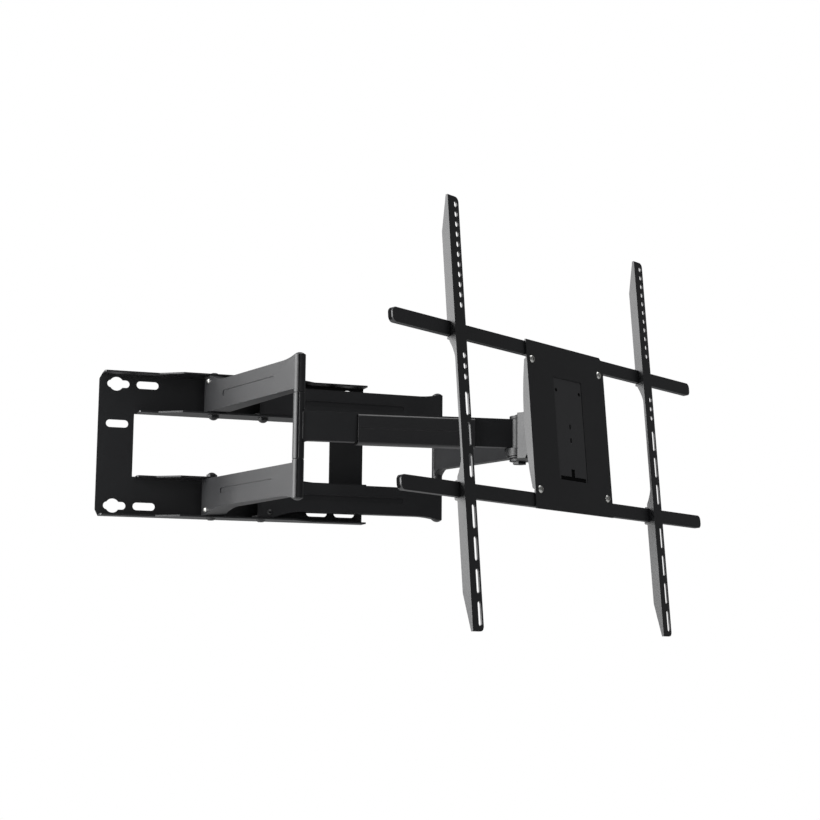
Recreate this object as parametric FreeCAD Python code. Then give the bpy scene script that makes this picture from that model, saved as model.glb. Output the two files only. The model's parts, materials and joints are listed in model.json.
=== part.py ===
import FreeCAD, Part
import math
import os

# Full-motion wall mount. Millimetres, +Z up, the wall is the plane Y = 0 and the room is on its -Y side.
# The origin is the centre of the wall plate's fixing pattern. The arms stand swung out to the right.

# ---- driving dimensions ----
plate_width = 432.0          # wall plate, end to end
plate_height = 226.0
end_bar_width = 56.0         # the wall plate's two upright end bars
rail_web = 63.5              # height of its upper and lower rails
wall_sheet = 2.5
rail_flange = 29.0           # how far the rails' flanges stand off the wall
rail_holes = 17.0            # rail slots and keyholes, in from the plate's top and bottom
ear_depth = 52.0             # the flanges' hinge ears, off the wall
ear_half = 92.0

hinge_spacing = 80.0         # between the two wall hinges
hinge_depth = 35.0           # hinge axes, off the wall
arm_length = 295.0           # wall hinge to elbow
forearm_length = 326.0       # elbow to head pivot
arm_a_angle = 12.6           # from straight out towards the right, seen from above
arm_b_angle = 90.4

arm_sheet = 2.5
arm_hinge_width = 30.0       # depth of an arm's channel at the wall hinge
elbow_tube = 17.0            # outside diameter of the rolled elbow knuckles
arm_tip_height = 45.0        # height of the channel beside the elbow
elbow_flare = 5.0            # how much higher the upper knuckle's top stands
elbow_pin = 8.0              # pin diameters
hinge_bolt = 10.0
head_bolt = 12.0
tilt_bolt = 8.0

beam_height = 42.0           # forearm
beam_width = 14.0
cover_start = 84.0           # cable cover on forearm A, from the elbow
cover_end = 256.0
lug_radius = 20.0            # forearm eyes at the head
lug_thickness = 11.0
head_disc = 2.5              # steel friction disc under the open eye
open_play = 7.0              # room the open pivot's eye leaves round the head bolt

head_yaw = 33.0              # the way the frame faces, right of straight out
head_tilt = -4.5             # top of the frame leans to the wall
yoke_width = 72.0
yoke_sheet = 4.0
yoke_web = 29.0              # head pivot to the yoke's web
pivot_to_tilt = 53.5         # head pivot to tilt axis
yoke_eye = 14.5              # radius of the yoke's plates round the head bolt
tilt_to_bars = 28.0          # tilt axis to the bars' front faces
plate_shift = 8.0            # centre plate, right of the head pivot

centre_width = 200.0
centre_height = 240.0
centre_sheet = 2.5
window_width = 72.0
window_height = 148.0
bar_length = 761.0
bar_height = 19.8
bar_depth = 8.0
bar_sheet = 2.5
bar_shift = -5.0
bar_spacing = 215.6          # between the two bars' centre lines
frame_drop = 2.0             # bars' mid-height below the tilt axis

upright_length = 583.6       # the two uprights that carry the screen
upright_width = 24.0
upright_sheet = 2.5
upright_depth = 13.0
upright_centres = (-252.5, 228.5)

# ---- clearances ----
fit = 0.05                   # running fit, radial
gap = 0.5                    # between sheets that pass each other
slide_gap = 0.4              # upright hooks round the bars

V = FreeCAD.Vector
nodes = {}


# ---- shape helpers ----
def box(x0, x1, y0, y1, z0, z1):
    return Part.makeBox(x1 - x0, y1 - y0, z1 - z0, V(x0, y0, z0))


def rod(radius, start, direction, length):
    return Part.makeCylinder(radius, length, V(*start), V(*direction))


def upright_rod(radius, z0, z1, x=0.0, y=0.0):
    return rod(radius, (x, y, z0), (0, 0, 1), z1 - z0)


def ring(outer, inner, z0, z1, x=0.0, y=0.0):
    return upright_rod(outer, z0, z1, x, y).cut(upright_rod(inner, z0 - 1, z1 + 1, x, y))


def face_of(points, to_vector):
    """points: (p, q) corners; a corner given as (p, q, mid_p, mid_q) is reached by an arc through mid."""
    edges = []
    closed = points + [points[0]]
    for here, there in zip(closed, closed[1:]):
        a, b = to_vector(*here[:2]), to_vector(*there[:2])
        if len(there) == 4:
            edges.append(Part.Arc(a, to_vector(*there[2:]), b).toShape())
        else:
            edges.append(Part.makeLine(a, b))
    return Part.Face(Part.Wire(edges))


def extrude_z(points, z0, z1):
    return face_of(points, lambda p, q: V(p, q, z0)).extrude(V(0, 0, z1 - z0))


def extrude_y(points, y0, y1):
    return face_of(points, lambda p, q: V(p, y0, q)).extrude(V(0, y1 - y0, 0))


def extrude_x(points, x0, x1):
    return face_of(points, lambda p, q: V(x0, p, q)).extrude(V(x1 - x0, 0, 0))


def rectangle(p0, p1, q0, q1):
    return [(p0, q0), (p1, q0), (p1, q1), (p0, q1)]


def slot_y(x, z, length, width, y0, y1):
    """A level slot through a sheet that stands across Y."""
    half = (length - width) / 2
    cut = box(x - half, x + half, y0, y1, z - width / 2, z + width / 2)
    for side in (-half, half):
        cut = cut.fuse(rod(width / 2, (x + side, y0, z), (0, 1, 0), y1 - y0))
    return cut


def slot_z(x, z, length, width, y0, y1):
    """An upright slot through a sheet that stands across Y."""
    half = (length - width) / 2
    cut = box(x - width / 2, x + width / 2, y0, y1, z - half, z + half)
    for side in (-half, half):
        cut = cut.fuse(rod(width / 2, (x, y0, z + side), (0, 1, 0), y1 - y0))
    return cut


def fuse(shapes):
    whole = shapes[0]
    for shape in shapes[1:]:
        whole = whole.fuse(shape)
    return whole.removeSplitter()


def hexagon(across_flats, start, direction, length):
    reach = across_flats / math.sqrt(3)
    corners = [(reach * math.cos(math.radians(a)), reach * math.sin(math.radians(a)))
               for a in range(0, 360, 60)]
    nut = extrude_z(corners, 0, length)
    turn = FreeCAD.Rotation(V(0, 0, 1), V(*direction))
    return nut.transformed(FreeCAD.Placement(V(*start), turn).toMatrix())


def dome(radius, height, start, direction):
    """A button head: a spherical cap that stands on the point start."""
    ball_radius = (radius ** 2 + height ** 2) / (2 * height)
    ball = Part.makeSphere(ball_radius, V(0, 0, height - ball_radius))
    cap = ball.common(box(-radius, radius, -radius, radius, 0, height))
    turn = FreeCAD.Rotation(V(0, 0, 1), V(*direction))
    return cap.transformed(FreeCAD.Placement(V(*start), turn).toMatrix())


def mirror_z(shape):
    return shape.mirror(V(0, 0, 0), V(0, 0, 1))


def mirror_x(shape):
    return shape.mirror(V(0, 0, 0), V(1, 0, 0))


def placed(shape, x, y, z=0.0, yaw=0.0):
    turn = FreeCAD.Rotation(V(0, 0, 1), yaw)
    return shape.transformed(FreeCAD.Placement(V(x, y, z), turn).toMatrix())


def keep(name, *solids):
    nodes[name] = solids[0] if len(solids) == 1 else Part.makeCompound(list(solids))


# ---- linkage: two arms and two forearms that meet at the head pivot ----
def heading(angle):
    return math.sin(math.radians(angle)), -math.cos(math.radians(angle))


def reach(start, angle, length):
    dx, dy = heading(angle)
    return start[0] + length * dx, start[1] + length * dy


def bearing(start, end):
    return math.degrees(math.atan2(end[0] - start[0], start[1] - end[1]))


hinge_a = (-hinge_spacing / 2, -hinge_depth)
hinge_b = (hinge_spacing / 2, -hinge_depth)
elbow_a = reach(hinge_a, arm_a_angle, arm_length)
elbow_b = reach(hinge_b, arm_b_angle, arm_length)
elbow_span = math.dist(elbow_a, elbow_b)
apex = math.degrees(math.acos(elbow_span / 2 / forearm_length))
forearm_a_angle = bearing(elbow_a, elbow_b) - apex
head = reach(elbow_a, forearm_a_angle, forearm_length)
forearm_b_angle = bearing(elbow_b, head)

# heights shared by the wall plate, the arms and their hinge bolts
rail_top = plate_height / 2
rail_low = rail_top - rail_web
arm_top = rail_top - wall_sheet - 1.0
arm_low = rail_low + wall_sheet + 1.0
tip_top = arm_low + arm_tip_height
elbow_top = tip_top + elbow_flare
knuckle_low = arm_low - 4.5
knuckle_gap = 1.0
bush_radius = hinge_bolt / 2 + 2.0


# ---- wall plate ----
def keyhole(x, z):
    """A level slot with a round entry hole a little outside its middle."""
    entry = rod(11.0, (x + math.copysign(3.0, x), -10, z), (0, 1, 0), 20)
    return slot_y(x, z, 35.0, 12.0, -10, 10).fuse(entry)


def flange(z0, z1, left):
    """A flange that stands off the wall and grows into a pair of hinge ears."""
    right = plate_width / 2
    tip, ramp = 2.0, 34.0
    points = [(left, 0), (right, 0), (right, -rail_flange + tip), (right - tip, -rail_flange),
              (ear_half + ramp, -rail_flange), (ear_half, -ear_depth), (-ear_half, -ear_depth),
              (-ear_half - ramp, -rail_flange), (left + tip, -rail_flange), (left, -rail_flange + tip)]
    return extrude_z(points, z0, z1)


def make_wall_plate():
    half, chamfer, relief = plate_width / 2, 5.0, 4.0
    web = extrude_y([(-half, -rail_top + 2 * chamfer), (-half + chamfer, -rail_top), (half, -rail_top),
                     (half, rail_top), (-half + chamfer, rail_top), (-half, rail_top - 2 * chamfer)],
                    -wall_sheet, 0)
    window_x = half - end_bar_width
    web = web.cut(box(-window_x, window_x, -5, 5, -rail_low, rail_low))
    flanges = []
    for sign in (1, -1):
        outer = sorted((sign * rail_top, sign * (rail_top - wall_sheet)))
        inner = sorted((sign * rail_low, sign * (rail_low + wall_sheet)))
        flanges.append(flange(*outer, -half + chamfer))
        flanges.append(flange(*inner, -window_x + relief))
    plate = fuse([web] + flanges)
    hole_z, keyhole_x, slot_x = rail_top - rail_holes, half - 30.0, half - 76.0
    for x, z in ((-keyhole_x, hole_z), (keyhole_x, hole_z), (-keyhole_x, -hole_z)):
        plate = plate.cut(keyhole(x, z))
    plate = plate.cut(slot_y(keyhole_x, -hole_z, 35.0, 12.0, -10, 10))
    for side in (1, -1):
        for z in (hole_z, -hole_z):
            plate = plate.cut(slot_y(side * slot_x, z, 35.0, 12.0, -10, 10))
        plate = plate.cut(slot_y(side * keyhole_x, 33.0, 35.0, 12.0, -10, 10))
    for x, y in (hinge_a, hinge_b):
        plate = plate.cut(upright_rod(hinge_bolt / 2 + fit, -plate_height, plate_height, x, y))
    return plate


# ---- arms, drawn along +X from the wall hinge at the origin ----
def arm_side(grow=0.0):
    """The channel's side view: tall at the hinge, waisted, and flared at the elbow."""
    top, low, tip = arm_top + grow, arm_low - grow, tip_top + grow
    start, end = -arm_hinge_width, arm_length
    return [(start, low), (end, low), (end, tip + elbow_flare),
            (end - 38, tip + 0.5, end - 17, tip + 1.8), (arm_length * 0.26, tip + 0.5),
            (18, top, arm_length * 0.15, tip + 3.2), (start, top)]


def arm_plan():
    """The channel from above: round at the hinge, tapering to the elbow tube."""
    wide, slim = arm_hinge_width / 2, elbow_tube / 2
    return [(0, -wide, -wide, 0), (40, -wide), (arm_length, -slim), (arm_length, slim), (40, wide),
            (0, wide)]


def arm_hollow():
    """What the plan leaves inside the web, open to +Y and at the hinge end."""
    wide, slim = arm_hinge_width / 2 - arm_sheet, elbow_tube / 2 - arm_sheet
    end = arm_length - elbow_tube / 2 - 4.0
    return [(-3 * wide, -wide), (40, -wide), (end, -slim), (end, 3 * wide), (-3 * wide, 3 * wide)]


def make_arm_channel():
    """The upper channel: a web on the -Y side, flanges, and a rolled knuckle at the elbow."""
    outer = extrude_y(arm_side(), -60, 60).common(extrude_z(arm_plan(), 0, 200))
    inner = extrude_y(arm_side(-arm_sheet), -60, 60).common(extrude_z(arm_hollow(), 0, 200))
    channel = outer.cut(inner)
    taper = math.degrees(math.atan((arm_hinge_width - elbow_tube) / 2 / (arm_length - 40)))
    rib = slot_y(arm_length * 0.37, (tip_top + arm_low) / 2, arm_length * 0.58, rib_height,
                 -30, rib_depth)
    turn = FreeCAD.Rotation(V(0, 0, 1), taper)
    start = V(40, -arm_hinge_width / 2, 0)
    channel = channel.cut(rib.transformed(FreeCAD.Placement(start, turn).toMatrix()))
    channel = channel.cut(upright_rod(bush_radius, 0, 200))
    channel = channel.cut(rod(screw_radius, (screw_x, -60, screw_z), (0, 1, 0), 60))
    tube = upright_rod(elbow_tube / 2, knuckle_low, elbow_top, arm_length)
    channel = fuse([channel, tube])
    channel = channel.cut(upright_rod(elbow_pin / 2 + fit, 0, 200, arm_length))
    return channel.cut(seam(arm_length, knuckle_low, elbow_top + 10, seam_from_arm))


rib_height, rib_depth = 9.0, 1.4
seam_width = 2.2
seam_from_arm = -32.0        # where the rolled sheet's seam lies round the knuckle
screw_x = 11.0               # stop screws in the arm's web
screw_z = arm_top - 8.0
screw_radius = 2.5


def seam(x, z0, z1, angle):
    """The groove where a rolled knuckle closes."""
    cut = box(elbow_tube / 2 - 2.2, elbow_tube, -seam_width / 2, seam_width / 2, z0, z1)
    return placed(cut, x, 0, 0, angle)


def make_hinge_bushes():
    """Flanged plastic bushes in the channel's two flanges, each lying against an ear."""
    low = ring(bush_radius + 4, hinge_bolt / 2 + fit, arm_low - 0.9, arm_low)
    low = low.fuse(ring(bush_radius, hinge_bolt / 2 + fit, arm_low - 0.9, arm_low + arm_sheet))
    top = ring(bush_radius + 4, hinge_bolt / 2 + fit, arm_top, arm_top + 0.9)
    top = top.fuse(ring(bush_radius, hinge_bolt / 2 + fit, arm_top - arm_sheet, arm_top + 0.9))
    return [low.removeSplitter(), top.removeSplitter()]


def make_stop_screw():
    shank = rod(screw_radius, (screw_x, -arm_hinge_width / 2, screw_z), (0, 1, 0), arm_sheet + 3)
    return shank.fuse(dome(4.5, 2.6, (screw_x, -arm_hinge_width / 2, screw_z), (0, -1, 0)))


def make_elbow_pin():
    """One long pin through all the knuckles, with a domed head at each end."""
    pin = upright_rod(elbow_pin / 2, -elbow_top, elbow_top)
    for sign in (1, -1):
        pin = pin.fuse(dome(elbow_tube / 2 - 0.5, 3.4, (0, 0, sign * elbow_top), (0, 0, sign)))
    return pin.removeSplitter()


def make_knuckle_washers():
    z0 = knuckle_low - knuckle_gap
    washer = ring(elbow_tube / 2 - 1.0, elbow_pin / 2 + fit, z0 + 0.05, z0 + knuckle_gap - 0.05)
    return [washer, mirror_z(washer)]


# ---- wall hinge bolts ----
def make_hinge_bolt():
    """Upper bolt of a wall hinge: button head on top, through both ears, into its dome nut."""
    nut_height, blind = 4.6, 3.6
    bolt = upright_rod(hinge_bolt / 2, rail_low - blind, rail_top)
    bolt = bolt.fuse(dome(8.0, 4.6, (0, 0, rail_top), (0, 0, 1)))
    nut = hexagon(15.0, (0, 0, rail_low - nut_height), (0, 0, 1), nut_height)
    nut = nut.fuse(dome(7.2, 3.6, (0, 0, rail_low - nut_height), (0, 0, -1)))
    nut = nut.cut(upright_rod(hinge_bolt / 2, rail_low - blind, rail_low + 1))
    return bolt.removeSplitter(), nut


# ---- forearms, drawn along +X from the elbow ----
def make_middle_knuckle(seam_angle):
    half = knuckle_low - knuckle_gap
    tube = ring(elbow_tube / 2, elbow_pin / 2 + fit, -half, half)
    return tube.cut(seam(0, -half - 1, half + 1, seam_angle))


def beam_root():
    """Cuts that seat a beam's end on its knuckle."""
    return upright_rod(elbow_tube / 2, -60, 60)


def gusset(sign, rise, run):
    """A curved foot that spreads the beam's load into the knuckle, above or below it."""
    edge, start = sign * beam_height / 2, elbow_tube / 2 - 2.5
    half = beam_width / 2
    points = [(start, edge), (start + run, edge),
              (start, edge + sign * rise, start + run * 0.45, edge + sign * rise * 0.3)]
    return extrude_y(points, -half, half)


def make_beam_a():
    """Rectangular tube to the head, with a solid end block that turns on the head bolt."""
    half_w, half_h, wall = beam_width / 2, beam_height / 2, 2.5
    beam = box(0, forearm_length, -half_w, half_w, -half_h, half_h)
    hollow = box(-1, forearm_length - 32, -half_w + wall, half_w - wall, -half_h + wall, half_h - wall)
    end = upright_rod(14.0, -half_h, half_h, forearm_length)
    beam = fuse([beam.cut(hollow), end, gusset(1, 4.0, 8.0), gusset(-1, 4.0, 8.0)])
    beam = beam.cut(beam_root())
    return beam.cut(upright_rod(head_bolt / 2 + fit, -60, 60, forearm_length))


def make_cable_cover():
    """A rounded C clip round forearm A that hides the cable."""
    low, high = -beam_height / 2 - 3.5, beam_height / 2 - 2.0
    near, far = -beam_width / 2 - 6.0, beam_width / 2 + 2.0
    radius, wall = 4.0, 1.6
    outer = box(cover_start, cover_end, near, far, low, high)
    outer = outer.makeFillet(radius, [e for e in outer.Edges if e.BoundBox.XLength > 50])
    inner = box(cover_start - 1, cover_end + 1, near + wall, far - wall, low + wall, high - wall)
    inner = inner.makeFillet(radius - wall, [e for e in inner.Edges if e.BoundBox.XLength > 50])
    slit = box(cover_start - 1, cover_end + 1, -beam_width / 2 - 0.1, beam_width / 2 + 0.1, 0, high + 5)
    groove = box(cover_start - 1, cover_end + 1, near - 1, near + 0.6, -1.6, -0.4)
    return outer.cut(inner).cut(slit).cut(groove)


def make_beam_b():
    """Pressed tube whose lower edge drops to an eye under forearm A's end block."""
    half_w, half_h, wall = beam_width / 2, beam_height / 2, 2.5
    lug_top = -half_h - 1.2
    lug_low = lug_top - lug_thickness
    shoulder = forearm_length - lug_radius - open_play - 10.0
    side = [(0, -half_h), (shoulder, lug_low), (forearm_length, lug_low), (forearm_length, lug_top),
            (shoulder, lug_top), (shoulder, half_h - 8.0), (shoulder - 8.0, half_h), (0, half_h)]
    hollow = [(-1, -half_h + wall), (shoulder - 24, lug_low + wall), (shoulder - 24, half_h - wall),
              (-1, half_h - wall)]
    beam = extrude_y(side, -half_w, half_w).cut(extrude_y(hollow, -half_w + wall, half_w - wall))
    eye = upright_rod(lug_radius, lug_low, lug_top, forearm_length)
    beam = fuse([beam, eye, gusset(1, 5.0, 10.0), gusset(-1, 10.0, 24.0)])
    beam = beam.cut(beam_root())
    return beam.cut(upright_rod(head_bolt / 2 + open_play, -80, 0, forearm_length))


# ---- head: heights shared by the pivot stack ----
stack_top = beam_height / 2 + 1.0
eye_low = -beam_height / 2 - 1.2 - lug_thickness
yoke_top = stack_top + yoke_sheet
yoke_low = eye_low - 1.0 - head_disc - yoke_sheet


def make_head_bolt():
    bolt = upright_rod(head_bolt / 2, yoke_low - 4.4, yoke_top)
    return bolt.fuse(dome(9.5, 3.6, (0, 0, yoke_top), (0, 0, 1))).removeSplitter()


def make_head_nut():
    hole = upright_rod(head_bolt / 2, yoke_low - 8, yoke_low + 1)
    return hexagon(18.0, (0, 0, yoke_low - 4.0), (0, 0, 1), 4.0).cut(hole)


def make_head_disc():
    """Steel disc that turns with the bolt on top of the yoke's lower plate."""
    top = eye_low - 0.6
    return ring(18.0, head_bolt / 2, top - head_disc, top)


def make_head_washers():
    """Washers over and under forearm A's end block; the lower one covers the open eye below it."""
    inner, outer = head_bolt / 2 + fit, head_bolt / 2 + open_play + 2.5
    return [ring(outer, inner, beam_height / 2 + 0.05, stack_top - 0.05),
            ring(outer, inner, -beam_height / 2 - 1.1, -beam_height / 2 - 0.1)]


def make_yoke():
    """A bent bracket: two plates on the head bolt, a web, and two cheeks that carry the tilt axis.
    Drawn with the tilt axis at the origin and the head pivot behind it at +Y."""
    half = yoke_width / 2
    web_y = pivot_to_tilt - yoke_web
    round_x, round_y = yoke_eye * 0.94, pivot_to_tilt - yoke_eye * 0.34
    plan = [(-half, web_y), (half, web_y), (half, web_y + 8), (round_x, round_y),
            (-round_x, round_y, 0, pivot_to_tilt + yoke_eye), (-half, web_y + 8)]
    plates = [extrude_z(plan, stack_top, yoke_top), extrude_z(plan, yoke_low, yoke_low + yoke_sheet)]
    web = box(-half, half, web_y - yoke_sheet, web_y, yoke_low, yoke_top)
    nose = 20.0
    cheek = [(web_y + 4, yoke_low), (web_y + 8, yoke_low + 4), (web_y + 8, yoke_top - 4),
             (web_y + 4, yoke_top), (web_y - 6, yoke_top), (6, nose), (0, nose),
             (0, -nose, -nose, 0), (6, -nose), (web_y - 6, yoke_low)]
    cheeks = [extrude_x(cheek, s * half - (yoke_sheet if s > 0 else 0),
                        s * half + (0 if s > 0 else yoke_sheet)) for s in (-1, 1)]
    yoke = fuse(plates + [web] + cheeks)
    yoke = yoke.cut(upright_rod(head_bolt / 2 + fit, -90, 90, 0, pivot_to_tilt))
    return yoke.cut(rod(tilt_bolt / 2 + fit, (-90, 0, 0), (1, 0, 0), 180))


# ---- tilting frame, drawn square: X along the bars, -Y towards the screen, tilt axis at the origin ----
bar_front = -tilt_to_bars
bar_z = bar_spacing / 2
ear_inside = yoke_width / 2 + gap
ear_sheet = 3.0
web_half = window_width / 2 + 12.0
hanger_back = bar_front + 3.1
bolt_x, bolt_z = 87.3, 92.6
stop_width, stop_height = 64.0, 5.5      # moulded stop at the foot of the window
stop_stem, stop_rise = 8.0, 11.0


def make_hanger():
    """The plate behind the centre plate's window, with two ears on the tilt axis."""
    shift, drop = plate_shift, -frame_drop
    web = box(shift - web_half, shift + web_half, bar_front + 0.1, hanger_back,
              drop - window_height / 2 - 6, drop + window_height / 2 + 6)
    pad_front = bar_front - centre_sheet + 0.6
    sill = drop - window_height / 2
    pad = box(shift - window_width / 2 + gap, shift + window_width / 2 - gap, pad_front,
              bar_front + 0.1, sill + gap, drop + window_height / 2 - gap)
    room = [box(shift - stop_width / 2 - gap, shift + stop_width / 2 + gap, pad_front - 1,
                bar_front + 0.1, sill, sill + stop_height + gap),
            box(shift - stop_stem / 2 - gap, shift + stop_stem / 2 + gap, pad_front - 1,
                bar_front + 0.1, sill, sill + stop_height + stop_rise + gap)]
    ear = [(hanger_back, -58), (hanger_back, 58), (-12, 24), (0, 14), (0, -14, 14, 0), (-12, -24)]
    ears = [extrude_x(ear, *sorted((s * ear_inside, s * (ear_inside + ear_sheet)))) for s in (-1, 1)]
    hanger = fuse([web, pad.cut(room[0]).cut(room[1])] + ears)
    for x in (-30, 30):
        hanger = hanger.cut(rod(3.0, (shift + x, -60, drop + 56), (0, 1, 0), 40))
    for z in (5, -15):
        hanger = hanger.cut(slot_z(shift, drop + z, 8.0, 4.0, -60, -20))
    return hanger.cut(rod(tilt_bolt / 2 + fit, (-90, 0, 0), (1, 0, 0), 180))


def make_hanger_stop():
    """A black moulded T let into the foot of the hanger's pad."""
    shift, sill = plate_shift, -frame_drop - window_height / 2 + gap
    front = bar_front - centre_sheet + 1.2
    bar = box(shift - stop_width / 2, shift + stop_width / 2, front, bar_front + 0.05,
              sill, sill + stop_height)
    stem = box(shift - stop_stem / 2, shift + stop_stem / 2, front, bar_front + 0.05,
               sill, sill + stop_height + stop_rise)
    return fuse([bar, stem])


def make_tilt_bolt():
    outer = ear_inside + ear_sheet
    bolt = rod(tilt_bolt / 2, (-outer, 0, 0), (1, 0, 0), 2 * outer + 8.0)
    return bolt.fuse(dome(7.5, 4.4, (-outer, 0, 0), (-1, 0, 0))).removeSplitter()


def make_tilt_nut():
    outer = ear_inside + ear_sheet
    hole = rod(tilt_bolt / 2, (outer - 1, 0, 0), (1, 0, 0), 12)
    return hexagon(13.0, (outer, 0, 0), (1, 0, 0), 6.5).cut(hole)


def make_tilt_washers():
    """Friction washers between the cheeks and the ears."""
    outer, inner = 11.0, tilt_bolt / 2 + fit
    pad = rod(outer, (yoke_width / 2 + 0.05, 0, 0), (1, 0, 0), gap - 0.1)
    pad = pad.cut(rod(inner, (yoke_width / 2 - 1, 0, 0), (1, 0, 0), 3))
    return [pad, mirror_x(pad)]


def make_centre_plate():
    """Front plate with a window, a turned-back flange each side and a chamfered corner."""
    half_w, half_h, notch = centre_width / 2, centre_height / 2, 8.0
    front = bar_front - centre_sheet
    outline = [(-half_w, -half_h), (half_w, -half_h), (half_w, half_h - notch),
               (half_w - notch, half_h), (-half_w, half_h)]
    sheet = extrude_y(outline, front, bar_front)
    sheet = sheet.cut(box(-window_width / 2, window_width / 2, front - 1, bar_front + 1,
                          -window_height / 2, window_height / 2))
    side_half = bar_z - bar_height / 2 - 6.0
    parts = [sheet]
    for s in (-1, 1):
        profile = [(front, -side_half), (front, side_half), (front + 5.0, side_half),
                   (front + 5.0, -side_half, front + 12.0, 0)]
        parts.append(extrude_x(profile, *sorted((s * half_w, s * (half_w - centre_sheet)))))
    plate = fuse(parts)
    for x in (-bolt_x, bolt_x):
        for z in (-bolt_z, bolt_z):
            plate = plate.cut(rod(3.0, (x, front - 1, z), (0, 1, 0), centre_sheet + 2))
    return placed(plate, plate_shift, 0, -frame_drop)


def make_corner_bolts():
    bolts = []
    front = bar_front - centre_sheet
    for x in (-bolt_x, bolt_x):
        for z in (-bolt_z, bolt_z):
            shank = rod(3.0, (x, front, z), (0, 1, 0), centre_sheet + bar_sheet + 4.0)
            bolt = shank.fuse(dome(5.6, 3.2, (x, front, z), (0, -1, 0))).removeSplitter()
            bolts.append(placed(bolt, plate_shift, 0, -frame_drop))
    return bolts


def make_corner_nuts():
    nuts = []
    for x in (-bolt_x, bolt_x):
        for z in (-bolt_z, bolt_z):
            start = (x, bar_front + bar_sheet, z)
            nut = hexagon(9.0, start, (0, 1, 0), 3.6).cut(rod(3.0, (x, bar_front, z), (0, 1, 0), 12))
            nuts.append(placed(nut, plate_shift, 0, -frame_drop))
    return nuts


def bar_outline():
    """A bar from the front, with rounded ends, on the upper bar's centre line."""
    half, corner = bar_length / 2, 7.5
    z0, z1 = bar_z - bar_height / 2, bar_z + bar_height / 2
    k = corner * (1 - math.sqrt(0.5))
    return [(-half, z0 + corner), (-half + corner, z0, -half + k, z0 + k), (half - corner, z0),
            (half, z0 + corner, half - k, z0 + k), (half, z1 - corner),
            (half - corner, z1, half - k, z1 - k), (-half + corner, z1),
            (-half, z1 - corner, -half + k, z1 - k)]


def make_bar(sign):
    """A channel open to the back, with rounded ends and two bolt tabs towards the middle."""
    half = bar_length / 2
    z0, z1 = bar_z - bar_height / 2, bar_z + bar_height / 2
    body = extrude_y(bar_outline(), bar_front, bar_front + bar_depth)
    body = body.cut(box(-half - 1, half + 1, bar_front + bar_sheet, bar_front + bar_depth + 1,
                        z0 + bar_sheet, z1 - bar_sheet))
    body = placed(body, bar_shift, 0)
    tabs = []
    for x in (-bolt_x, bolt_x):
        tab = box(x - 8, x + 8, bar_front, bar_front + bar_sheet, bolt_z - 7, z0 + 1)
        tab = tab.cut(rod(3.0, (x, bar_front - 1, bolt_z), (0, 1, 0), 9))
        tabs.append(placed(tab, plate_shift, 0))
    bar = fuse([body] + tabs)
    if sign < 0:
        bar = mirror_z(bar)
    return placed(bar, 0, 0, -frame_drop)


def make_bar_caps():
    """Plastic plugs that close the bars' open ends, rounded with them."""
    caps = []
    half, reach_in = bar_length / 2, 16.0
    height = bar_height / 2 - bar_sheet - 0.1
    filled = extrude_y(bar_outline(), bar_front + bar_sheet, bar_front + bar_depth)
    for side in (-1, 1):
        x0, x1 = sorted((side * half, side * (half - reach_in)))
        cap = filled.common(box(x0, x1, bar_front, bar_front + bar_depth, bar_z - height, bar_z + height))
        for plug in (cap, mirror_z(cap)):
            caps.append(placed(plug, bar_shift, 0, -frame_drop))
    return caps


# ---- uprights: identical, drawn with their face centred on X = 0 ----
upright_front = bar_front - 8.0
hook_sheet = 3.0
slot_offset = 5.0            # the hole line, right of the face's centre
lock_radius = 2.0            # lock screws, under the bars
lock_y = bar_front + bar_depth / 2


def make_upright():
    half_l, half_w = upright_length / 2, upright_width / 2
    face_back = upright_front + upright_sheet
    back = upright_front + upright_depth
    corner = 7.0
    k = corner * (1 - math.sqrt(0.5))
    face = extrude_y([(-half_w, -half_l), (half_w - corner, -half_l),
                      (half_w, -half_l + corner, half_w - k, -half_l + k), (half_w, half_l - corner),
                      (half_w - corner, half_l, half_w - k, half_l - k), (-half_w, half_l)],
                     upright_front, face_back)
    lean = upright_front + 3.2
    tip, knee = half_l, half_l - 50.0
    inner, outer = bar_z - bar_height / 2 - 7.0, bar_z + bar_height / 2 + slide_gap
    notch = bar_front - slide_gap
    edge = [(upright_front, -tip), (upright_front, tip), (lean, tip), (back, knee), (back, outer),
            (notch, outer), (notch, inner + 6.6), (back - 2, inner + 6.6), (back - 2, inner),
            (lean, inner - 22, lean + 2, inner - 14), (lean, -inner + 22),
            (back - 2, -inner, lean + 2, -inner + 14), (back - 2, -inner - 6.6),
            (notch, -inner - 6.6), (notch, -outer), (back, -outer), (back, -knee), (lean, -tip)]
    side = extrude_x(edge, -half_w, -half_w + upright_sheet)
    upright = fuse([face, side])
    y0, y1 = upright_front - 1, face_back + 1
    for index in range(11):
        upright = upright.cut(slot_z(slot_offset, 281.0 - 14.0 * index, 8.5, 6.2, y0, y1))
    for z in (72.0, 57.5, 43.0):
        upright = upright.cut(slot_z(slot_offset, z, 8.5, 6.2, y0, y1))
    for z in (7.0, -34.0, -76.0, -143.0, -185.0, -227.0, -269.0):
        upright = upright.cut(slot_z(slot_offset, z, 32.0, 7.0, y0, y1))
    return upright


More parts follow.
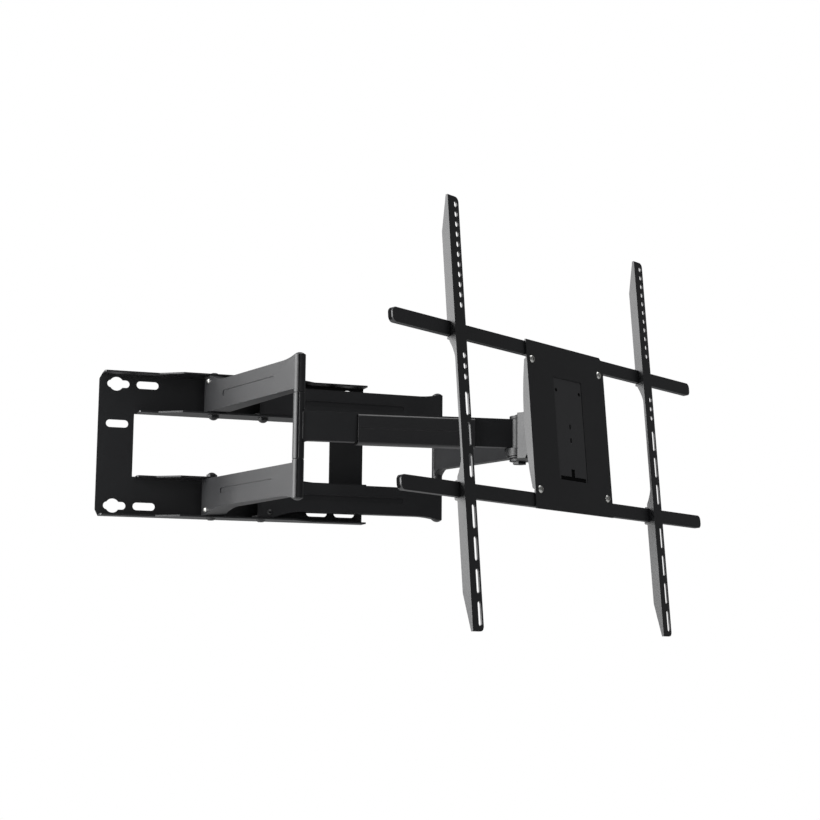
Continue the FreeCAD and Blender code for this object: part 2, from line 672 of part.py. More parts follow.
def make_hooks():
    """Clips behind the upright's face that hook over each bar, slide on it and carry a lock screw."""
    near = upright_front + upright_sheet
    notch = bar_front - slide_gap
    low, high = bar_z - bar_height / 2 - slide_gap, bar_z + bar_height / 2 + slide_gap
    back = bar_front + bar_depth + slide_gap
    far, top, lip = back + hook_sheet, high + hook_sheet, 9.0
    profile = [(near, low - hook_sheet), (back, low - hook_sheet), (back, low), (notch, low),
               (notch, high), (back, high), (back, high - lip), (far, high - lip),
               (far, top - 1.5), (far - 1.5, top), (near, top)]
    clip = extrude_x(profile, -upright_width / 2 + upright_sheet, upright_width / 2 - 3.0)
    clip = clip.cut(upright_rod(lock_radius + fit, low - 9, low + 1, 0, lock_y))
    return [clip, mirror_z(clip)]


def make_lock_screws():
    """A hexagon-headed screw through each hook's shelf that clamps the bar."""
    low = bar_z - bar_height / 2 - slide_gap
    shank = upright_rod(lock_radius, low - hook_sheet - 1, low + slide_gap - 0.1, 0, lock_y)
    screw = shank.fuse(hexagon(7.0, (0, lock_y, low - hook_sheet - 4.0), (0, 0, 1), 4.0))
    screw = screw.removeSplitter()
    return [screw, mirror_z(screw)]


# ---- assemble ----
keep("wall_plate", make_wall_plate())

sides = {"a": (hinge_a, arm_a_angle, elbow_a, forearm_a_angle),
         "b": (hinge_b, arm_b_angle, elbow_b, forearm_b_angle)}
for letter, (hinge, arm_angle, elbow, forearm_angle) in sides.items():
    def on_arm(shape):
        return placed(shape, *hinge, 0, arm_angle - 90)

    def on_forearm(shape):
        return placed(shape, *elbow, 0, forearm_angle - 90)

    bolt, nut = make_hinge_bolt()
    keep(f"hinge_bolts_{letter}", *[placed(s, *hinge) for s in (bolt, mirror_z(bolt))])
    keep(f"hinge_nuts_{letter}", *[placed(s, *hinge) for s in (nut, mirror_z(nut))])
    channel = make_arm_channel()
    keep(f"arm_{letter}_upper_channel", on_arm(channel))
    keep(f"arm_{letter}_lower_channel", on_arm(mirror_z(channel)))
    bushes = make_hinge_bushes()
    keep(f"arm_{letter}_hinge_bushes", *[on_arm(s) for s in bushes + [mirror_z(s) for s in bushes]])
    screw = make_stop_screw()
    keep(f"arm_{letter}_stop_screws", on_arm(screw), on_arm(mirror_z(screw)))
    keep(f"elbow_{letter}_pin", placed(make_elbow_pin(), *elbow))
    keep(f"elbow_{letter}_washers", *[placed(s, *elbow) for s in make_knuckle_washers()])
    seam_angle = seam_from_arm + arm_angle - forearm_angle
    keep(f"forearm_{letter}_knuckle", on_forearm(make_middle_knuckle(seam_angle)))
    beam = make_beam_a() if letter == "a" else make_beam_b()
    keep(f"forearm_{letter}_beam", on_forearm(beam))
    if letter == "a":
        keep("forearm_a_cable_cover", on_forearm(make_cable_cover()))

keep("head_pivot_bolt", placed(make_head_bolt(), *head))
keep("head_pivot_nut", placed(make_head_nut(), *head))
keep("head_friction_disc", placed(make_head_disc(), *head))
keep("head_pivot_washers", *[placed(s, *head) for s in make_head_washers()])

tilt_axis = reach(head, head_yaw, pivot_to_tilt)


def on_yoke(shape):
    return placed(shape, *tilt_axis, 0, head_yaw)


def on_frame(shape):
    lean = FreeCAD.Placement(V(0, 0, 0), FreeCAD.Rotation(V(1, 0, 0), head_tilt))
    return on_yoke(shape.transformed(lean.toMatrix()))


keep("swivel_yoke", on_yoke(make_yoke()))
keep("tilt_bolt", on_yoke(make_tilt_bolt()))
keep("tilt_nut", on_yoke(make_tilt_nut()))
keep("tilt_friction_washers", *[on_yoke(s) for s in make_tilt_washers()])
keep("hanger_plate", on_frame(make_hanger()))
keep("hanger_stop", on_frame(make_hanger_stop()))
keep("centre_plate", on_frame(make_centre_plate()))
keep("corner_bolts", *[on_frame(s) for s in make_corner_bolts()])
keep("corner_nuts", *[on_frame(s) for s in make_corner_nuts()])
keep("upper_bar", on_frame(make_bar(1)))
keep("lower_bar", on_frame(make_bar(-1)))
keep("bar_end_caps", *[on_frame(s) for s in make_bar_caps()])
for name, centre in zip(("left", "right"), upright_centres):
    def on_upright(shape):
        return on_frame(placed(shape, centre, 0, -frame_drop))

    keep(f"{name}_upright", on_upright(make_upright()))
    keep(f"{name}_upright_hooks", *[on_upright(s) for s in make_hooks()])
    keep(f"{name}_lock_screws", *[on_upright(s) for s in make_lock_screws()])

os.makedirs("parts", exist_ok=True)
for name, shape in nodes.items():
    shape.exportStep(f"parts/{name}.step")
    solids = shape.Solids
    print(f"{name}: {len(solids)} solid(s), {sum(s.Volume for s in solids) / 1000:.1f} cm3,"
          f" valid {all(s.isValid() for s in solids)}")
print("head pivot", [round(v, 2) for v in head], "tilt axis", [round(v, 2) for v in tilt_axis])
print("elbows", [round(v, 2) for v in elbow_a + elbow_b])
print("forearms", round(forearm_a_angle, 3), round(forearm_b_angle, 3))
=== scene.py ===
import json
import math
import bmesh
import bpy
from mathutils import Matrix, Vector


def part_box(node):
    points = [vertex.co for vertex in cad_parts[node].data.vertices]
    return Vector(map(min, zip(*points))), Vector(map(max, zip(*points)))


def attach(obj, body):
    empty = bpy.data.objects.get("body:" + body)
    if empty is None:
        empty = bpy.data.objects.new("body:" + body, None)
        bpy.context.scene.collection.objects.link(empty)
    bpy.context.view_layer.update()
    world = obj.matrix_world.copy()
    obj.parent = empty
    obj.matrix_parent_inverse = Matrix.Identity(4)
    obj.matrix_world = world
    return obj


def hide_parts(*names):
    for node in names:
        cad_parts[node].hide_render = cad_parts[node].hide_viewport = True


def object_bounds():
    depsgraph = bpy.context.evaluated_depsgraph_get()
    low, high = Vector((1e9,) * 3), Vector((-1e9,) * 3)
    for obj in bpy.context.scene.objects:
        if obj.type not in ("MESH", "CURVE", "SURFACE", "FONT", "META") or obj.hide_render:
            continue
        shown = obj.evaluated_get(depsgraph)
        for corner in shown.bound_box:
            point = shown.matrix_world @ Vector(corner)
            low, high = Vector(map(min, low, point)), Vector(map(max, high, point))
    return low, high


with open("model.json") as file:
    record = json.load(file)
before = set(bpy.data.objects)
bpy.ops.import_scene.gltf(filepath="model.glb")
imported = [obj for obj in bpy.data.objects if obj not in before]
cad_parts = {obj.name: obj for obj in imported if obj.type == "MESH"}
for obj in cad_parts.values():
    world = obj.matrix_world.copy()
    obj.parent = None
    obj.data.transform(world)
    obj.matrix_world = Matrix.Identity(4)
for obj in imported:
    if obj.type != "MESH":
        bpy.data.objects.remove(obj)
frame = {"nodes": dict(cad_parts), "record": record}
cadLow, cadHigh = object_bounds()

scene = bpy.context.scene
scene.view_settings.view_transform = "Standard"   # plain whites and true blacks
nodes = frame["nodes"]
print("frame loaded:", len(nodes), "nodes")


# shader wiring: a Wire is one output socket, and sums on it add Math nodes
class Wire:
    def __init__(self, paint, socket):
        self.paint = paint
        self.socket = socket

    def calc(self, operation, *values):
        return self.paint.add("ShaderNodeMath", {"operation": operation}, dict(enumerate(values)))["Value"]

    def __add__(self, other):
        return self.calc("ADD", self, other)

    def __radd__(self, other):
        return self.calc("ADD", other, self)

    def __sub__(self, other):
        return self.calc("SUBTRACT", self, other)

    def __rsub__(self, other):
        return self.calc("SUBTRACT", other, self)

    def __mul__(self, other):
        return self.calc("MULTIPLY", self, other)

    def __rmul__(self, other):
        return self.calc("MULTIPLY", other, self)


# the node tree of a material or of the world
class Paint:
    def __init__(self, owner):
        owner.use_nodes = True
        self.owner = owner
        self.tree = owner.node_tree
        self.tree.nodes.clear()
        self.place = self.add("ShaderNodeTexCoord")["Object"]

    # any node: its settings first, then the values or wires of its sockets, by name or number
    def add(self, kind, settings=None, sockets=None):
        node = self.tree.nodes.new(kind)
        for key, value in (settings or {}).items():
            setattr(node, key, value)
        for key, value in (sockets or {}).items():
            if isinstance(value, Wire):
                self.tree.links.new(value.socket, node.inputs[key])
            else:
                node.inputs[key].default_value = value
        return {out.name: Wire(self, out) for out in node.outputs if out.enabled}

    def noise(self, scale, detail=3.0, roughness=0.55):
        return self.add("ShaderNodeTexNoise", {"noise_dimensions": "3D"}, {
            "Vector": self.place, "Scale": scale, "Detail": detail, "Roughness": roughness})["Fac"]

    def ramp(self, value, low, high):
        return self.add("ShaderNodeMapRange", {"interpolation_type": "SMOOTHSTEP"}, {
            "Value": value, "From Min": low, "From Max": high})["Result"]

    def blend(self, mask, first, second):
        mixed = self.add("ShaderNodeMix", {"data_type": "RGBA", "blend_type": "MIX"}, {
            0: mask, 6: (*first, 1.0) if isinstance(first, tuple) else first,
            7: (*second, 1.0) if isinstance(second, tuple) else second})
        return mixed["Result"]

    # 1 on the corners that hands and tools rub, 0 on the flats
    def edges(self, radius, low, high):
        soft = self.add("ShaderNodeBevel", {"samples": 6}, {"Radius": radius})["Normal"]
        flat = self.add("ShaderNodeNewGeometry")["Normal"]
        along = self.add("ShaderNodeVectorMath", {"operation": "DOT_PRODUCT"}, {0: soft, 1: flat})["Value"]
        return self.ramp(1.0 - along, low, high)

    def relief(self, height, strength, distance, under=None):
        sockets = {"Height": height, "Strength": strength, "Distance": distance}
        if under is not None:
            sockets["Normal"] = under
        return self.add("ShaderNodeBump", {}, sockets)["Normal"]

    def shade(self, colour, roughness, metallic, normal, **fixed):
        sockets = {"Base Color": colour, "Roughness": roughness, "Metallic": metallic}
        if normal is not None:
            sockets["Normal"] = normal
        sockets.update({key.replace("_", " "): value for key, value in fixed.items()})
        surface = self.add("ShaderNodeBsdfPrincipled", {}, sockets)["BSDF"]
        self.add("ShaderNodeOutputMaterial", {}, {"Surface": surface})
        return self.owner


def newPaint(name, colour):
    material = bpy.data.materials.new(name)
    material.diffuse_color = (*colour, 1.0)
    return Paint(material)


# noise sizes are per metre; a Range is where a noise or a corner starts to show and is full
powderCoat = {
    "colour": (0.0085, 0.0088, 0.0098),
    "worn": (0.060, 0.061, 0.064), "wornShare": 0.55,              # thin coat on corners
    "dust": (0.019, 0.019, 0.020), "dustShare": 0.35, "dustRange": (0.45, 0.75),
    "roughness": 0.42, "cloudRough": 0.16, "speckRough": 0.10, "wornRough": 0.08,
    "cloudSize": 9.0,
    "scuffSize": 60.0, "scuffRange": (0.42, 0.68),
    "peelSize": 900.0, "peelDepth": 0.00010, "peelStrength": 0.30,  # orange peel
    "grainSize": 5200.0, "grainDepth": 0.00003, "grainStrength": 0.22,
    "edgeWidth": 0.0011, "edgeRange": (0.02, 0.30),
    "gloss": 0.5,
}


def makePowderCoat(name, look):
    paint = newPaint(name, look["colour"])
    cloud = paint.noise(look["cloudSize"], 4.0)
    speck = paint.noise(look["grainSize"], 2.0, 0.6)
    peel = paint.noise(look["peelSize"], 2.0, 0.5)
    scuff = paint.noise(look["scuffSize"], 5.0, 0.7)
    edge = paint.edges(look["edgeWidth"], *look["edgeRange"]) * paint.ramp(scuff, *look["scuffRange"])
    dusty = paint.ramp(cloud, *look["dustRange"]) * look["dustShare"]
    colour = paint.blend(dusty, look["colour"], look["dust"])
    colour = paint.blend(edge * look["wornShare"], colour, look["worn"])
    roughness = (look["roughness"] + (cloud - 0.5) * look["cloudRough"]
                 + (speck - 0.5) * look["speckRough"] - edge * look["wornRough"])
    coarse = paint.relief(peel, look["peelStrength"], look["peelDepth"])
    normal = paint.relief(speck, look["grainStrength"], look["grainDepth"], coarse)
    return paint.shade(colour, roughness, 0.0, normal, Specular_IOR_Level=look["gloss"])


zincPlate = {
    "colour": (0.56, 0.56, 0.54), "metal": 0.95,
    "dull": (0.34, 0.33, 0.30), "dullShare": 0.6, "dullRange": (0.48, 0.70),
    "roughness": 0.30, "stainRough": 0.25, "latheRough": 0.12, "edgeRough": 0.06,
    "stainSize": 240.0,
    "latheSize": 2600.0, "latheDepth": 0.00003, "latheStrength": 0.25,
    "edgeWidth": 0.0006, "edgeRange": (0.02, 0.25),
}


def makeZinc(name, look):
    paint = newPaint(name, look["colour"])
    stain = paint.noise(look["stainSize"], 4.0, 0.6)
    lathe = paint.noise(look["latheSize"], 3.0, 0.6)
    edge = paint.edges(look["edgeWidth"], *look["edgeRange"])
    dulled = paint.ramp(stain, *look["dullRange"]) * look["dullShare"]
    colour = paint.blend(dulled, look["colour"], look["dull"])
    roughness = (look["roughness"] + (stain - 0.5) * look["stainRough"]
                 + (lathe - 0.5) * look["latheRough"] - edge * look["edgeRough"])
    normal = paint.relief(lathe, look["latheStrength"], look["latheDepth"])
    return paint.shade(colour, roughness, look["metal"], normal)


blackPlastic = {
    "colour": (0.0105, 0.0105, 0.0115), "gloss": 0.5,
    "rubbed": (0.035, 0.035, 0.037), "rubbedShare": 0.6, "rubSize": 90.0, "rubRange": (0.40, 0.65),
    "roughness": 0.50, "cloudRough": 0.18, "rubbedRough": 0.10,
    "cloudSize": 14.0,
    "grainSize": 3400.0, "grainDepth": 0.00006, "grainStrength": 0.28,
    "edgeWidth": 0.0010, "edgeRange": (0.02, 0.30),
}


def makePlastic(name, look):
    paint = newPaint(name, look["colour"])
    cells = paint.add("ShaderNodeTexVoronoi", {"feature": "F1"}, {
        "Vector": paint.place, "Scale": look["grainSize"], "Randomness": 1.0})["Distance"]
    cloud = paint.noise(look["cloudSize"], 4.0)
    rub = paint.noise(look["rubSize"], 4.0)
    edge = paint.edges(look["edgeWidth"], *look["edgeRange"]) * paint.ramp(rub, *look["rubRange"])
    colour = paint.blend(edge * look["rubbedShare"], look["colour"], look["rubbed"])
    roughness = look["roughness"] + (cloud - 0.5) * look["cloudRough"] - edge * look["rubbedRough"]
    normal = paint.relief(cells, look["grainStrength"], look["grainDepth"])
    return paint.shade(colour, roughness, 0.0, normal, Specular_IOR_Level=look["gloss"])


finishes = {
    "black_steel": makePowderCoat("satinPowderCoat", powderCoat),
    "zinc_steel": makeZinc("zincPlate", zincPlate),
    "black_plastic": makePlastic("mouldedPlastic", blackPlastic),
    "nylon": makePlastic("darkNylon", {**blackPlastic, "colour": (0.020, 0.020, 0.022), "roughness": 0.42}),
}
# nodes whose finish differs from the rest of their slot
# near-black matte finish: the own black of the bar end caps and pad screws, and painted shade on the hanger
# stop, the sheet behind its slots and the band at the cover's end
blackRubberAndShade = makePlastic("deepBlackRubber", {
    **blackPlastic, "colour": (0.0016, 0.0016, 0.0018), "rubbed": (0.004, 0.004, 0.004), "roughness": 0.80,
    "gloss": 0.08})
ownFinish = {
    "hanger_plate": makePowderCoat("greyPowderCoat", {
        **powderCoat, "colour": (0.029, 0.0295, 0.031), "dust": (0.038, 0.038, 0.039), "roughness": 0.52}),
    # the hanger stop: a black part, darkened to near-black as painted shade so that its T reads as a deep
    # hole
    "hanger_stop": blackRubberAndShade,
    "bar_end_caps": blackRubberAndShade,
    "forearm_a_cable_cover": makePlastic("coverPlastic", {
        **blackPlastic, "colour": (0.0115, 0.0115, 0.0125), "roughness": 0.40, "grainSize": 2600.0}),
}
slotOf = {part["node"]: part["material_slot"] for part in frame["record"]["subparts"]}
bodyOf = {node: body for body, held in frame["record"]["behaviour"]["bodies"].items() for node in held}
print("finishes made:", len(finishes) + len(ownFinish))

# pivots and directions that the pieces are set out from
pivot = {joint["name"]: Vector(joint["pos_m"]) for joint in frame["record"]["behaviour"]["joints"]
         if "pos_m" in joint}
facing = {mount["name"]: Vector(mount["axis"]) for mount in frame["record"]["mounts"]}
upward = Vector((0.0, 0.0, 1.0))


def heading(start, end):
    return (pivot[end] - pivot[start]).normalized()


def outOf(along):
    return Vector((along.y, -along.x, 0.0))


# every sheet and casting is a welded copy of its node with softened corners
softening = {"sheet": 0.0006, "small": 0.0003, "detail": 0.0001, "angle": 28.0, "segments": 2,
             "weld": 0.00001, "flat": 0.4}
smallPieces = ("bolt", "nut", "screw", "washer", "bush", "pin", "cap")


def camel(node):
    first, *rest = node.split("_")
    return first + "".join(word.capitalize() for word in rest)


def dress(node):
    mesh = nodes[node].data.copy()
    shaped = bmesh.new()
    shaped.from_mesh(mesh)
    bmesh.ops.remove_doubles(shaped, verts=shaped.verts, dist=softening["weld"])
    bmesh.ops.dissolve_limit(shaped, verts=shaped.verts, edges=shaped.edges, delimit=set(),
                             angle_limit=math.radians(softening["flat"]), use_dissolve_boundaries=False)
    for face in shaped.faces:
        face.smooth = True
    shaped.to_mesh(mesh)
    shaped.free()
    if "custom_normal" in mesh.attributes:
        mesh.attributes.remove(mesh.attributes["custom_normal"])
    fine = any(word in node for word in smallPieces)
    piece = settle(camel(node), mesh, node, softening["small"] if fine else softening["sheet"])
    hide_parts(node)


# gives a mesh its finish, soft corners and the body it moves with
def settle(name, mesh, node, corner, finish=None):
    mesh.materials.clear()
    mesh.materials.append(finish or ownFinish.get(node, finishes[slotOf[node]]))
    piece = bpy.data.objects.new(name, mesh)
    scene.collection.objects.link(piece)
    soft = piece.modifiers.new("corners", "BEVEL")
    soft.width = corner
    soft.segments = softening["segments"]
    soft.limit_method = "ANGLE"
    soft.angle_limit = math.radians(softening["angle"])
    soft.harden_normals = True
    soft.use_clamp_overlap = True
    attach(piece, bodyOf[node])
    return piece


def settleShape(name, shaped, node, corner, finish=None):
    bmesh.ops.recalc_face_normals(shaped, faces=shaped.faces)
    for face in shaped.faces:
        face.smooth = True
    mesh = bpy.data.meshes.new(name)
    shaped.to_mesh(mesh)
    shaped.free()
    return settle(name, mesh, node, corner, finish)


# the next ring of a turned shape: the open edge is pushed along Z and scaled about it
def grow(shaped, edges, widen, rise):
    pushed = bmesh.ops.extrude_edge_only(shaped, edges=edges)["geom"]
    corners = [part for part in pushed if isinstance(part, bmesh.types.BMVert)]
    bmesh.ops.scale(shaped, vec=(widen, widen, 1.0), verts=corners)
    bmesh.ops.translate(shaped, vec=(0.0, 0.0, rise), verts=corners)
    fresh = set(corners)
    return [part for part in pushed if isinstance(part, bmesh.types.BMEdge) and set(part.verts) <= fresh]


def openEdges(corners):
    return list(dict.fromkeys(edge for corner in corners for edge in corner.link_edges))


def turn(shaped, sides, profile):
    corners = bmesh.ops.create_circle(shaped, segments=sides, radius=profile[0][0])["verts"]
    bmesh.ops.translate(shaped, vec=(0.0, 0.0, profile[0][1]), verts=corners)
    edges = openEdges(corners)
    bmesh.ops.edgeloop_fill(shaped, edges=edges)
    for (was, low), (now, high) in zip(profile, profile[1:]):
        edges = grow(shaped, edges, now / was, high - low)
    return edges


def place(shaped, at, along, into):
    stand = Matrix.Translation(at) @ upward.rotation_difference(along).to_matrix().to_4x4()
    bmesh.ops.transform(shaped, matrix=stand, verts=shaped.verts)
    carrier = bpy.data.meshes.new("carrier")
    shaped.to_mesh(carrier)
    shaped.free()
    into.from_mesh(carrier)
    bpy.data.meshes.remove(carrier)


# the loose solids of a node, each as a list of its corner points
def solidsOf(node):
    shaped = bmesh.new()
    shaped.from_mesh(nodes[node].data)
    bmesh.ops.remove_doubles(shaped, verts=shaped.verts, dist=softening["weld"])
    met, found = set(), []
    for first in shaped.verts:
        if first in met:
            continue
        met.add(first)
        queue, solid = [first], []
        while queue:
            corner = queue.pop()
            solid.append(corner.co.copy())
            near = [edge.other_vert(corner) for edge in corner.link_edges]
            near = [other for other in near if other not in met]
            met.update(near)
            queue.extend(near)
        found.append(solid)
    shaped.free()
    return found


# button-headed bolts with a hexagon socket, turned to the size of the node's own
buttonBolt = {
    "sides": 40, "domeRings": 7, "rim": 0.995, "rimStep": 0.00001,
    "tip": 0.8, "tipRise": 0.2,                            # shares of the shank's radius
    "socket": 0.44, "socketDepth": 0.50, "lip": 1.22,      # shares of the head's radius and height
    "edge": 0.00015,
}
boltReading = {"headShare": 0.99, "footRise": 0.0002}
hexSocket = {"step": 0.0001, "draft": 0.98, "drill": 0.35, "drillDepth": 0.16}


def measureBolt(solid, along):
    side = along.orthogonal().normalized()
    middle = Vector((0.0, 0.0, 0.0))
    for axis in (side, along.cross(side)):
        reach = [point.dot(axis) for point in solid]
        middle += axis * (min(reach) + max(reach)) / 2
    spread = [(point.dot(along), (point - middle - along * point.dot(along)).length) for point in solid]
    head = max(out for _, out in spread)
    foot, top = min(high for high, _ in spread), max(high for high, _ in spread)
    seat = min(high for high, out in spread if out > head * boltReading["headShare"])
    shank = max(out for high, out in spread if high < foot + boltReading["footRise"])
    return middle, head, shank, foot, seat, top


# closes a turned head's open mouth with a hexagon socket
def sinkSocket(bolt, mouth, socket, top, depth):
    hexagon = bmesh.ops.create_circle(bolt, segments=6, radius=socket)["verts"]
    bmesh.ops.translate(bolt, vec=(0.0, 0.0, top - hexSocket["step"]), verts=hexagon)
    flats = openEdges(hexagon)
    bmesh.ops.bridge_loops(bolt, edges=mouth + flats)
    floor = grow(bolt, flats, hexSocket["draft"], -depth)
    floor = grow(bolt, floor, hexSocket["drill"], -depth * hexSocket["drillDepth"])
    bmesh.ops.edgeloop_fill(bolt, edges=floor)


def addButtonBolt(into, look, solid, along):
    middle, head, shank, foot, seat, top = measureBolt(solid, along)
    if seat - foot < top - seat:       # this one stands the other way up
        along = -along
        middle, head, shank, foot, seat, top = measureBolt(solid, along)
    height, socket = top - seat, head * look["socket"]
    ball = (head ** 2 + height ** 2) / (2 * height)
    rim = head * look["rim"]
    profile = [(shank * look["tip"], 0.0), (shank, shank * look["tipRise"]), (shank, seat - foot),
               (head, seat - foot)]
    for step in range(look["domeRings"] + 1):
        out = rim + (socket * look["lip"] - rim) * step / look["domeRings"]
        high = top - foot - ball + math.sqrt(ball ** 2 - out ** 2)
        profile.append((out, high + look["rimStep"] * (step == 0)))
    bolt = bmesh.new()
    mouth = turn(bolt, look["sides"], profile)
    sinkSocket(bolt, mouth, socket, profile[-1][1], height * look["socketDepth"])
    place(bolt, middle + along * foot, along, into)


buttonNodes = {
    "corner_bolts": facing["screen_slots_left"],
    "arm_a_stop_screws": outOf(heading("arm_a_swing", "elbow_a_turn")),
    "arm_b_stop_screws": outOf(heading("arm_b_swing", "elbow_b_turn")),
    "hinge_bolts_a": upward,
    "hinge_bolts_b": upward,
    "head_pivot_bolt": upward,
}


def makeButtonBolts(node, along):
    shaped = bmesh.new()
    for solid in solidsOf(node):
        addButtonBolt(shaped, buttonBolt, solid, along)
    piece = settleShape(camel(node), shaped, node, buttonBolt["edge"])
    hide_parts(node)


# fillet welds where each forearm's tube meets its knuckle
weldBead = {
    "radius": 0.0013, "sides": 10, "half": 0.0195,
    "pitch": 0.0012, "ripple": 0.14, "dip": 0.3, "crest": 0.8,   # of each ripple's pitch
    "startShare": 0.5, "endShare": 0.4, "endRise": 0.5,
    "tubeHalf": 0.0070, "proud": 0.0004,
}


def makeWelds(letter):
    look = weldBead
    node, elbow = f"forearm_{letter}_beam", pivot[f"elbow_{letter}_turn"]
    beamLow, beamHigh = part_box(node)
    aim = (Vector(beamLow) + Vector(beamHigh)) / 2 - elbow
    aim.z = 0.0
    aim.normalize()
    low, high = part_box(f"forearm_{letter}_knuckle")
    tube = (high[0] - low[0]) / 2
    ahead = math.sqrt(tube ** 2 - look["tubeHalf"] ** 2) + look["proud"]
    half, swell = look["half"], look["radius"] * look["ripple"]
    shaped = bmesh.new()
    for side in (-1, 1):
        bead = bmesh.new()
        profile, climb = [(look["radius"] * look["startShare"], 0.0)], 0.0
        while climb < 2 * half - look["pitch"]:
            profile += [(look["radius"] - swell, climb + look["pitch"] * look["dip"]),
                        (look["radius"] + swell, climb + look["pitch"] * look["crest"])]
            climb += look["pitch"]
        profile.append((look["radius"] * look["endShare"], climb + look["pitch"] * look["endRise"]))
        last = turn(bead, look["sides"], profile)
        bmesh.ops.edgeloop_fill(bead, edges=last)
        at = elbow + aim * ahead + outOf(aim) * side * look["tubeHalf"]
        place(bead, Vector((at.x, at.y, -half)), upward, shaped)
    settleShape(f"forearm{letter.upper()}Welds", shaped, node, softening["detail"])


# the tilting frame's own axes: across the bars, up, and out towards the screen
acrossBars = Vector(next(joint["axis"] for joint in frame["record"]["behaviour"]["joints"]
                         if joint["name"] == "head_tilt"))
outward = facing["screen_slots_left"].normalized()


def onFrame(across, up, out):
    return pivot["head_tilt"] + acrossBars * across + outward.cross(acrossBars) * up + outward * out


# black screws in the hanger plate's two holes
padScrews = {
    "radius": 0.0029, "length": 0.0040, "edge": 0.0004, "tip": 0.8, "crown": 0.86, "sides": 32,
    "socket": 0.0015, "socketDepth": 0.0014, "mouth": 1.3,
    "across": (-0.022, 0.038), "up": 0.054, "foot": 0.0252, "corner": 0.00012,
}


def makePadScrews():
    look = padScrews
    shaped = bmesh.new()
    for across in look["across"]:
        screw = bmesh.new()
        out, tall = look["radius"], look["length"]
        profile = [(out * look["tip"], 0.0), (out, look["edge"]), (out, tall - look["edge"]),
                   (out * look["crown"], tall), (look["socket"] * look["mouth"], tall)]
        mouth = turn(screw, look["sides"], profile)
        sinkSocket(screw, mouth, look["socket"], tall, look["socketDepth"])
        place(screw, onFrame(across, look["up"], look["foot"]), outward, shaped)
    settleShape("padScrews", shaped, "hanger_stop", look["corner"])


# a near-black sheet behind the two short slots: painted shade, so that they read as deep dark holes
padBacking = {"size": (0.018, 0.040), "thick": 0.0008, "corner": 0.004, "across": 0.008, "up": -0.007,
              "face": 0.0248}


def makePadShadeSheet():
    look = padBacking
    sheet = bmesh.new()
    bmesh.ops.create_grid(sheet, x_segments=1, y_segments=1, size=0.5)
    bmesh.ops.scale(sheet, vec=(*look["size"], 1.0), verts=sheet.verts)
    raised = bmesh.ops.extrude_face_region(sheet, geom=sheet.faces[:])["geom"]
    lifted = [part for part in raised if isinstance(part, bmesh.types.BMVert)]
    bmesh.ops.translate(sheet, vec=(0.0, 0.0, -look["thick"]), verts=lifted)
    corners = [edge for edge in sheet.edges
               if abs(edge.verts[0].co.z - edge.verts[1].co.z) > look["thick"] / 2]
    bmesh.ops.bevel(sheet, geom=corners, offset=look["corner"], offset_type="OFFSET", segments=5,
                    profile=0.5, affect="EDGES", material=-1)
    stand = Matrix((acrossBars, outward.cross(acrossBars), outward)).transposed().to_4x4()
    stand.translation = onFrame(look["across"], look["up"], look["face"])
    bmesh.ops.transform(sheet, matrix=stand, verts=sheet.verts)
    settleShape("padBacking", sheet, "hanger_stop", softening["detail"])


# a near-black band at the cable cover's elbow end: painted shade for the dark gap there
coverLip = {"start": 0.0822, "length": 0.0018, "thick": 0.0012, "corner": 0.0032,
            "outline": ((0.0121, 0.0180), (0.0121, -0.0236), (-0.0081, -0.0236), (-0.0081, 0.0180))}


def makeCoverShadeBand():
    look = coverLip
    along = heading("elbow_a_turn", "head_pin_turn")
    start = pivot["elbow_a_turn"] + along * look["start"]
    shaped = bmesh.new()
    corners = [shaped.verts.new(start + outOf(along) * out + upward * high) for out, high in look["outline"]]
    edges = [shaped.edges.new(pair) for pair in zip(corners, corners[1:])]
    pushed = bmesh.ops.extrude_edge_only(shaped, edges=edges)["geom"]
    moved = [part for part in pushed if isinstance(part, bmesh.types.BMVert)]
    bmesh.ops.translate(shaped, vec=along * look["length"], verts=moved)
    folds = [edge for edge in shaped.edges if len(edge.link_faces) == 2]
    bmesh.ops.bevel(shaped, geom=folds, offset=look["corner"], offset_type="OFFSET", segments=4,
                    profile=0.5, affect="EDGES", material=-1)
    bmesh.ops.recalc_face_normals(shaped, faces=shaped.faces)
    bmesh.ops.solidify(shaped, geom=shaped.faces[:], thickness=look["thick"])
    settleShape("coverLip", shaped, "forearm_a_cable_cover", softening["detail"], blackRubberAndShade)


for node in sorted(nodes):
    if node not in buttonNodes:
        dress(node)
print("nodes dressed:", len(nodes) - len(buttonNodes))
for node, along in buttonNodes.items():
    makeButtonBolts(node, along)
print("socket-headed bolts turned:", len(buttonNodes))
for letter in "ab":
    makeWelds(letter)
print("welds laid")
makePadScrews()
makePadShadeSheet()
makeCoverShadeBand()
# the gasket and the lip are painted shade: a near-black sheet behind the pad slots and a near-black band at
# the cover's end
print("screws, gasket and lip added")


# floor, light and camera
room = {
    "floorDrop": 0.95, "floorRadius": 5.5, "floorSides": 96, "floorColour": (0.86, 0.86, 0.86),
    "glowColour": (0.93, 0.93, 0.93), "floorGlow": 0.78,   # lifts the floor for the camera only
    "airColour": (1.0, 1.0, 1.0), "air": 1.0,              # the background that the camera sees
    "fillColour": (0.97, 0.98, 1.0), "fill": 0.17,         # the light that the object gets from it
}


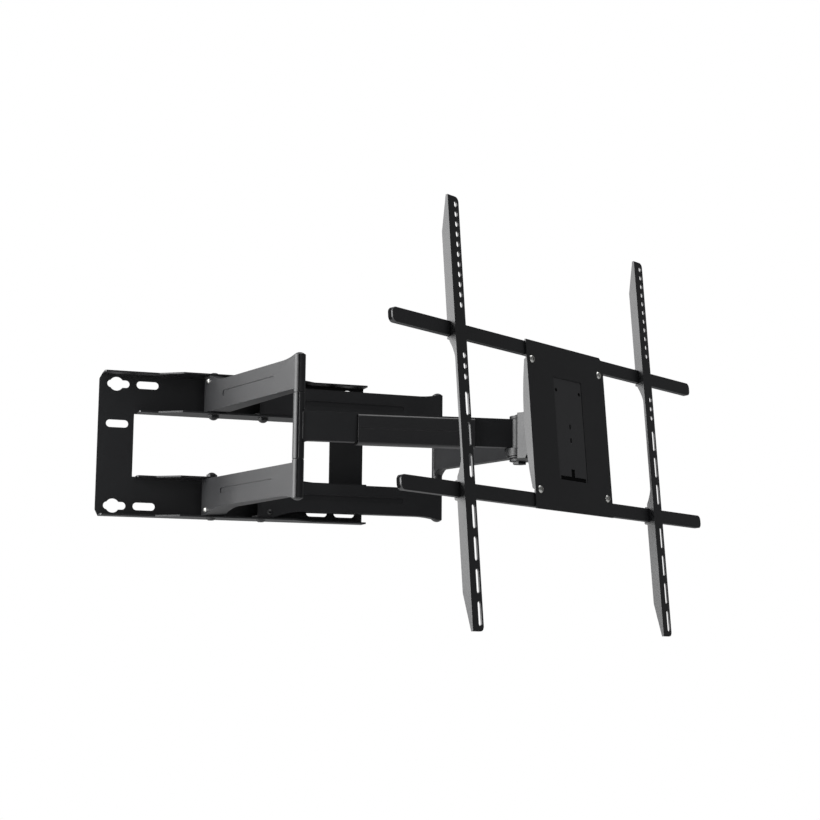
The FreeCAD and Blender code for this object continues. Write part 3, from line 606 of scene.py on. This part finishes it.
def makeFloor():
    shaped = bmesh.new()
    bmesh.ops.create_circle(shaped, cap_ends=True, segments=room["floorSides"], radius=room["floorRadius"])
    bmesh.ops.translate(shaped, verts=shaped.verts, vec=(0.0, 0.0, cadLow.z - room["floorDrop"]))
    mesh = bpy.data.meshes.new("floor")
    shaped.to_mesh(mesh)
    shaped.free()
    floor = bpy.data.objects.new("floor", mesh)
    scene.collection.objects.link(floor)
    paint = newPaint("paleFloor", room["floorColour"])
    lit = paint.add("ShaderNodeBsdfDiffuse", {}, {"Color": (*room["floorColour"], 1.0)})["BSDF"]
    pale = paint.add("ShaderNodeEmission", {}, {"Color": (*room["glowColour"], 1.0)})["Emission"]
    seen = paint.add("ShaderNodeLightPath")["Is Camera Ray"]
    both = paint.add("ShaderNodeMixShader", {}, {0: seen * room["floorGlow"], 1: lit, 2: pale})["Shader"]
    paint.add("ShaderNodeOutputMaterial", {}, {"Surface": both})
    mesh.materials.append(paint.owner)


def makeWorld():
    scene.world = bpy.data.worlds.new("studio")
    paint = Paint(scene.world)
    felt = paint.add("ShaderNodeBackground", {}, {
        "Color": (*room["fillColour"], 1.0), "Strength": room["fill"]})["Background"]
    seen = paint.add("ShaderNodeBackground", {}, {
        "Color": (*room["airColour"], 1.0), "Strength": room["air"]})["Background"]
    toCamera = paint.add("ShaderNodeLightPath")["Is Camera Ray"]
    both = paint.add("ShaderNodeMixShader", {}, {0: toCamera, 1: felt, 2: seen})["Shader"]
    paint.add("ShaderNodeOutputWorld", {}, {"Surface": both})


lamps = {
    "leftSoftbox": {
        "place": (-2.8, -0.3, 0.7), "aim": (0.2, -0.3, 0.0), "size": (2.6, 2.4), "power": 205.0},
    "topSoftbox": {
        "place": (0.3, -0.5, 2.4), "aim": (0.2, -0.3, 0.0), "size": (2.2, 1.6), "power": 45.0},
    "backLeftStrip": {                 # small, for the left arm's web
        "place": (-0.62, 0.26, 0.14), "aim": (0.02, -0.3, 0.0), "size": (0.12, 0.7), "power": 1.6},
}


def makeLamp(name, look):
    data = bpy.data.lights.new(name, "AREA")
    data.shape = "RECTANGLE"
    data.size, data.size_y = look["size"]
    data.energy = look["power"]
    lamp = bpy.data.objects.new(name, data)
    scene.collection.objects.link(lamp)
    lamp.location = look["place"]
    lamp.rotation_euler = (Vector(look["aim"]) - Vector(look["place"])).to_track_quat("-Z", "Y").to_euler()


viewer = {"place": (-0.5652, -2.6020, -0.3170), "yaw": 18.358, "pitch": 8.268, "roll": 0.569,
          "lens": 73.1, "sensor": 36.0, "far": 100.0}


def makeCamera():
    data = bpy.data.cameras.new("camera")
    data.sensor_width = viewer["sensor"]
    data.lens = viewer["lens"]
    data.clip_end = viewer["far"]
    camera = bpy.data.objects.new("camera", data)
    scene.collection.objects.link(camera)
    yaw, pitch, roll = (math.radians(viewer[key]) for key in ("yaw", "pitch", "roll"))
    ahead = Vector((math.sin(yaw) * math.cos(pitch), math.cos(yaw) * math.cos(pitch), math.sin(pitch)))
    right = Vector((math.cos(yaw), -math.sin(yaw), 0.0))
    up = right.cross(ahead)
    turned = math.cos(roll) * right + math.sin(roll) * up
    raised = math.cos(roll) * up - math.sin(roll) * right
    camera.matrix_world = Matrix.Translation(viewer["place"]) @ Matrix(
        (turned, raised, -ahead)).transposed().to_4x4()
    scene.camera = camera


makeFloor()
makeWorld()
for name, look in lamps.items():
    makeLamp(name, look)
makeCamera()
print("stage, lights and camera made")
